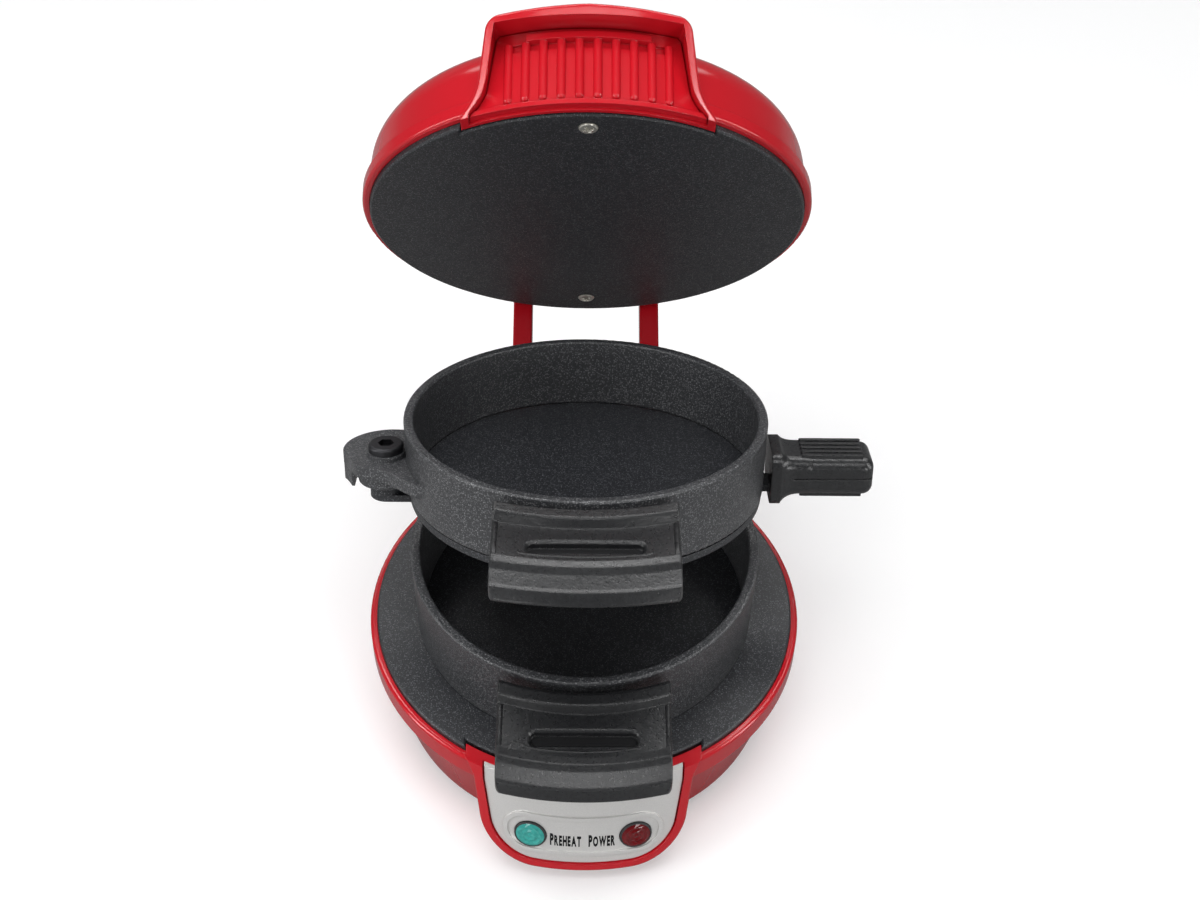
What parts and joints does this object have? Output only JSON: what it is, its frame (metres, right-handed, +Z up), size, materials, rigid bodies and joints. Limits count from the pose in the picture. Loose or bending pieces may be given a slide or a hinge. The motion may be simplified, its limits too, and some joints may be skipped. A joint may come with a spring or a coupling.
{
  "type": "breakfast sandwich maker",
  "caption": "Round countertop sandwich cooker: heated base with indicator panel, two hinged cooking rings, a swing-out egg plate and a heated domed lid.",
  "frame": {"origin": "on the table under the centre of the heating plates", "axes": "+Z up, -Y towards the front panel and handles, +X to the right seen from the front, where the egg plate's grip points"},
  "size_m": [0.17, 0.217, 0.2404],
  "materials": {
    "red_gloss": "glossy red moulded plastic",
    "black_moulding": "matt black moulded plastic",
    "foot_rubber": "soft black rubber",
    "silver_panel": "satin silver paint on moulded plastic",
    "green_lens": "clear green lens",
    "red_lens": "clear dark red lens",
    "lamp_glass": "clear lamp glass",
    "nonstick_plate": "cast aluminium with speckled black non-stick coating",
    "nonstick_ring": "cast aluminium with dark grey non-stick coating",
    "handle_black": "black heat-proof moulding with a fine texture",
    "plain_steel": "plated steel",
    "element_steel": "heat-tinted steel tube",
    "pan_metal": "bright pressed aluminium",
    "dark_steel": "blackened steel"
  },
  "bodies": {
    "base": {"base_housing": "red_gloss", "bottom_cover": "black_moulding", "rubber_feet": "foot_rubber", "cover_screws": "plain_steel", "cord_bush": "black_moulding", "control_panel": "silver_panel", "preheat_lens": "green_lens", "power_lens": "red_lens", "indicator_lamps": "lamp_glass", "lower_plate": "nonstick_plate", "lower_element": "element_steel", "lower_pan": "pan_metal", "lower_plate_screws": "plain_steel", "thermostat": "plain_steel", "hinge_pin": "plain_steel", "pin_clip": "plain_steel"},
    "lower_ring_body": {"lower_ring": "nonstick_ring", "lower_handle": "handle_black", "lower_handle_screws": "dark_steel"},
    "upper_ring_body": {"upper_ring": "nonstick_ring", "upper_handle": "handle_black", "upper_handle_screws": "dark_steel", "pivot_screw": "dark_steel", "pivot_washer": "dark_steel", "pivot_nut": "dark_steel"},
    "egg_plate_body": {"egg_plate": "nonstick_plate", "egg_plate_grip": "handle_black"},
    "lid_body": {"lid_cover": "red_gloss", "grip_panel": "red_gloss", "upper_plate": "nonstick_plate", "upper_element": "element_steel", "upper_pan": "pan_metal", "upper_plate_screws": "plain_steel", "thermal_fuse": "plain_steel"}
  },
  "joints": [
    {"name": "lower_ring_hinge", "type": "hinge", "parent": "base", "child": "lower_ring_body", "pos_m": [0, 0.0775, 0.0695], "axis": [-1, 0, 0], "range_deg": [0, 25]},
    {"name": "upper_ring_hinge", "type": "hinge", "parent": "lower_ring_body", "child": "upper_ring_body", "pos_m": [0, 0.0775, 0.0695], "axis": [-1, 0, 0], "range_deg": [-17.5, 15]},
    {"name": "egg_plate_swing", "type": "hinge", "parent": "upper_ring_body", "child": "egg_plate_body", "pos_m": [-0.0634, -0.00145, 0.09943], "axis": [0, -0.3007, -0.9537], "range_deg": [0, 82]},
    {"name": "lid_hinge", "type": "hinge", "parent": "upper_ring_body", "child": "lid_body", "pos_m": [0, 0.0775, 0.0695], "axis": [-1, 0, 0], "range_deg": [-46.5, 40]}
  ]
}
